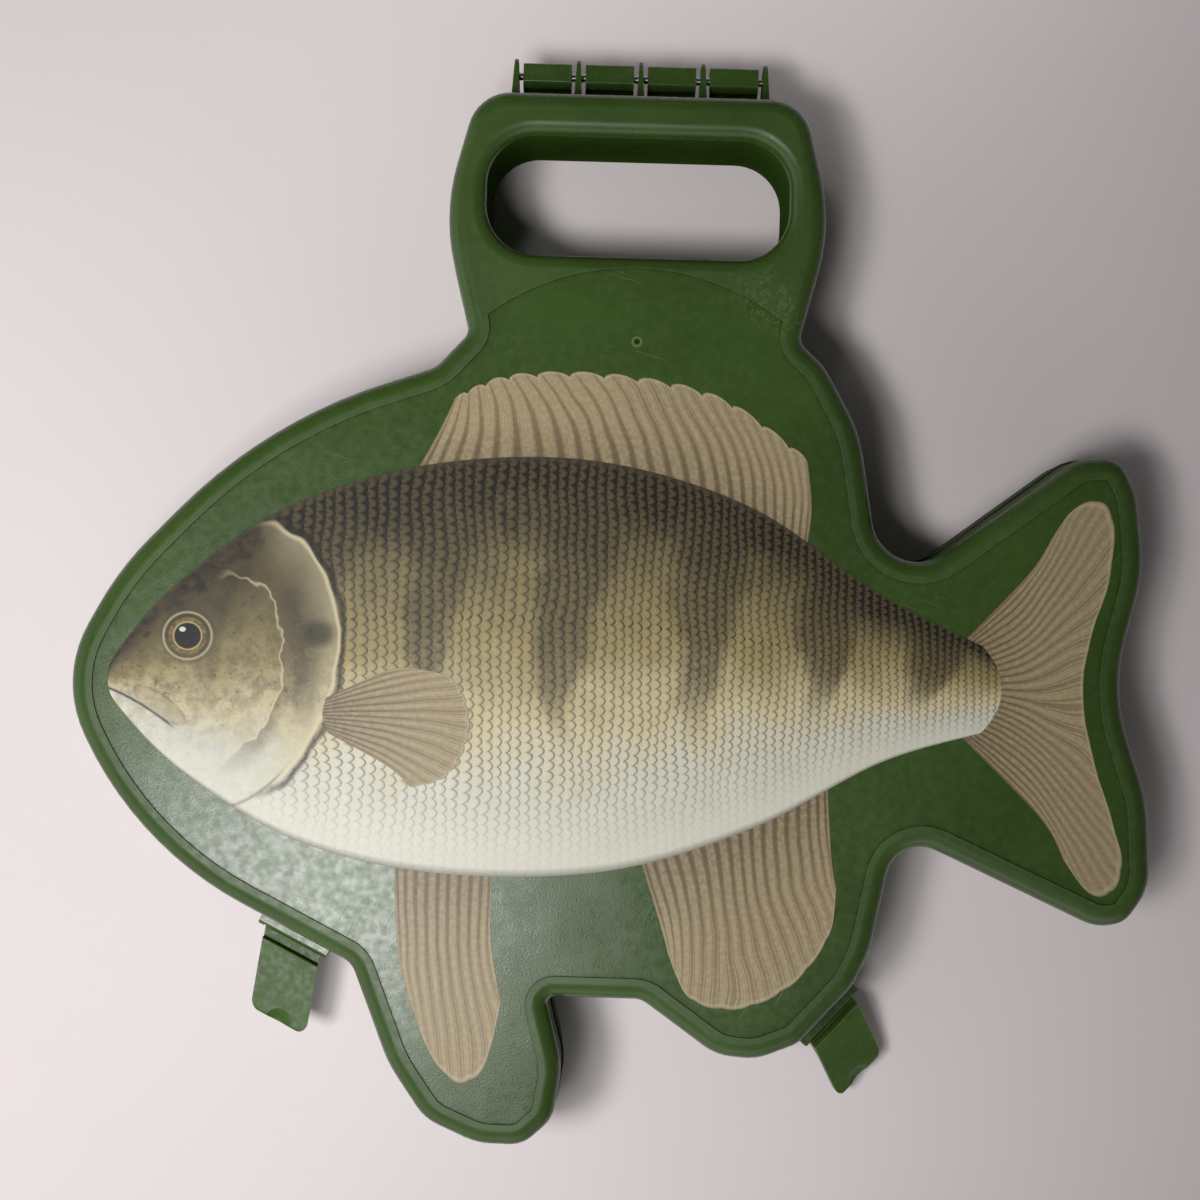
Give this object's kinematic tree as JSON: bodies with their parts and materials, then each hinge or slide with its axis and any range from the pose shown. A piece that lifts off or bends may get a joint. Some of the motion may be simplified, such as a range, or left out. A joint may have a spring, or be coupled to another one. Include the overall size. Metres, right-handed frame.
{
  "type": "tackle box",
  "caption": "Fish-shaped clamshell tackle box with a carrying handle, a hinge along the handle, snap latches and a tray of removable dividers.",
  "frame": {"origin": "centre of the overall box, on the plane that the case lies on", "axes": "+X from the nose to the tail of the fish, +Y towards the handle and the hinge, +Z out of the printed front"},
  "size_m": [0.3743, 0.3799, 0.06],
  "materials": {
    "case_plastic": "fine-grained dark green polypropylene, half gloss",
    "latch_plastic": "dark green polypropylene, half gloss",
    "pin_steel": "plain drawn wire",
    "print_ink": "printed film in olive, tan and cream",
    "divider_plastic": "natural unpigmented polypropylene, slightly milky"
  },
  "bodies": {
    "back_half": {"back_shell": "case_plastic", "hinge_pin": "pin_steel", "divider_top_1": "divider_plastic", "divider_top_2": "divider_plastic", "divider_top_3": "divider_plastic", "divider_upper_1": "divider_plastic", "divider_upper_2": "divider_plastic", "divider_upper_3": "divider_plastic", "divider_upper_4": "divider_plastic", "divider_lower_1": "divider_plastic", "divider_lower_2": "divider_plastic", "divider_lower_3": "divider_plastic", "divider_lower_4": "divider_plastic", "divider_bottom_1": "divider_plastic", "divider_bottom_2": "divider_plastic", "divider_bottom_3": "divider_plastic"},
    "front_half": {"front_shell": "case_plastic", "fish_print": "print_ink"},
    "nose_latch": {"latch_nose": "latch_plastic"},
    "tail_latch": {"latch_tail": "latch_plastic"}
  },
  "joints": [
    {"name": "lid_hinge", "type": "hinge", "parent": "back_half", "child": "front_half", "pos_m": [0.0055, 0.1839, 0.03], "axis": [-1, 0, 0], "range_deg": [0, 180]},
    {"name": "nose_latch_hinge", "type": "hinge", "parent": "back_half", "child": "nose_latch", "pos_m": [-0.10851, -0.12206, 0.026], "axis": [-0.893, 0.4501, 0], "range_deg": [-50, 90]},
    {"name": "tail_latch_hinge", "type": "hinge", "parent": "back_half", "child": "tail_latch", "pos_m": [0.08082, -0.14524, 0.026], "axis": [-0.6655, -0.7464, 0], "range_deg": [-20, 120]}
  ]
}
